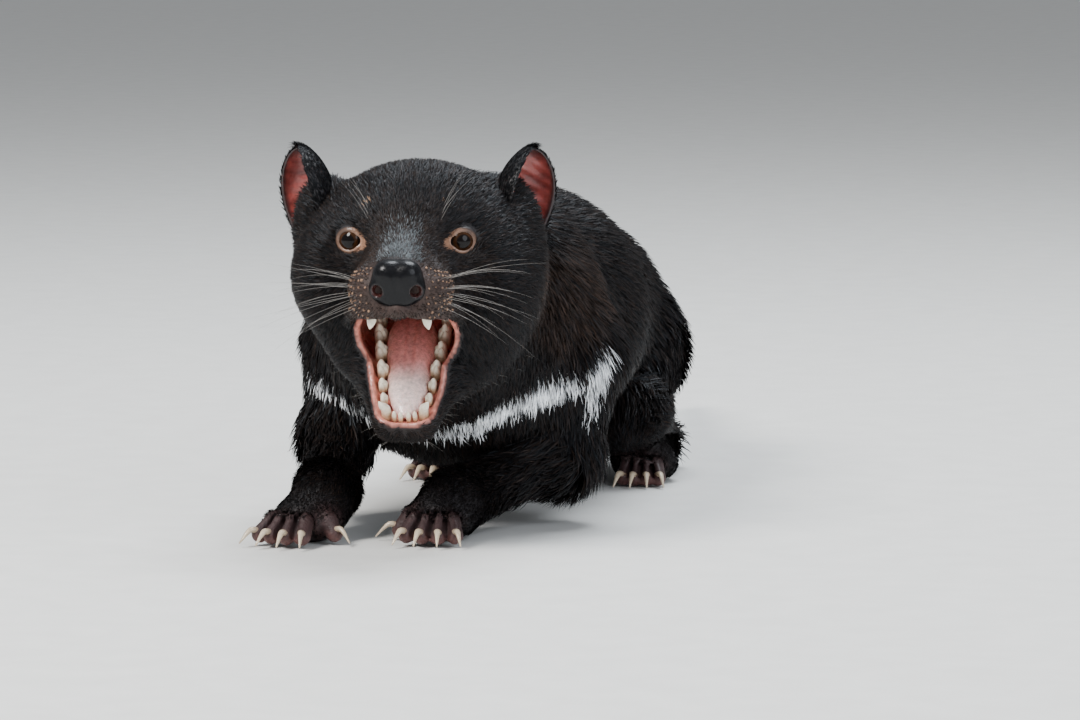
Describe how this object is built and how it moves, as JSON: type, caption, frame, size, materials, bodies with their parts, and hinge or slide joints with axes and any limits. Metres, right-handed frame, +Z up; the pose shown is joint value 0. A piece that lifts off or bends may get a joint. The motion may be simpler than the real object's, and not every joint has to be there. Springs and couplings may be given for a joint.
{
  "type": "tasmanian devil model",
  "caption": "Life-size still model of a Tasmanian devil, crouched on its feet with its head up and its mouth gaping wide.",
  "frame": {"origin": "on the floor, under the middle of the whole animal's bounding box", "axes": "+Z up; the animal faces -Y and its tail points to +Y, the longest extent; its own left side is +X"},
  "size_m": [0.1764, 0.7028, 0.209],
  "materials": {
    "coat": "short dense black fur with white bands",
    "nose": "wet, glossy black skin",
    "tongue": "wet pink skin",
    "ear": "bare pink-red skin inside, black fur outside",
    "eye": "clear glossy, dark brown"
  },
  "bodies": {
    "root": {"head": "coat", "jaw": "coat", "neck": "coat", "torso": "coat", "tail": "coat", "upper_foreleg_left": "coat", "upper_foreleg_right": "coat", "forearm_left": "coat", "forearm_right": "coat", "forepaw_left": "coat", "forepaw_right": "coat", "thigh_left": "coat", "thigh_right": "coat", "hindfoot_left": "coat", "hindfoot_right": "coat", "nose": "nose", "tongue": "tongue", "ear_left": "ear", "ear_right": "ear", "eye_left": "eye", "eye_right": "eye"}
  },
  "joints": []
}
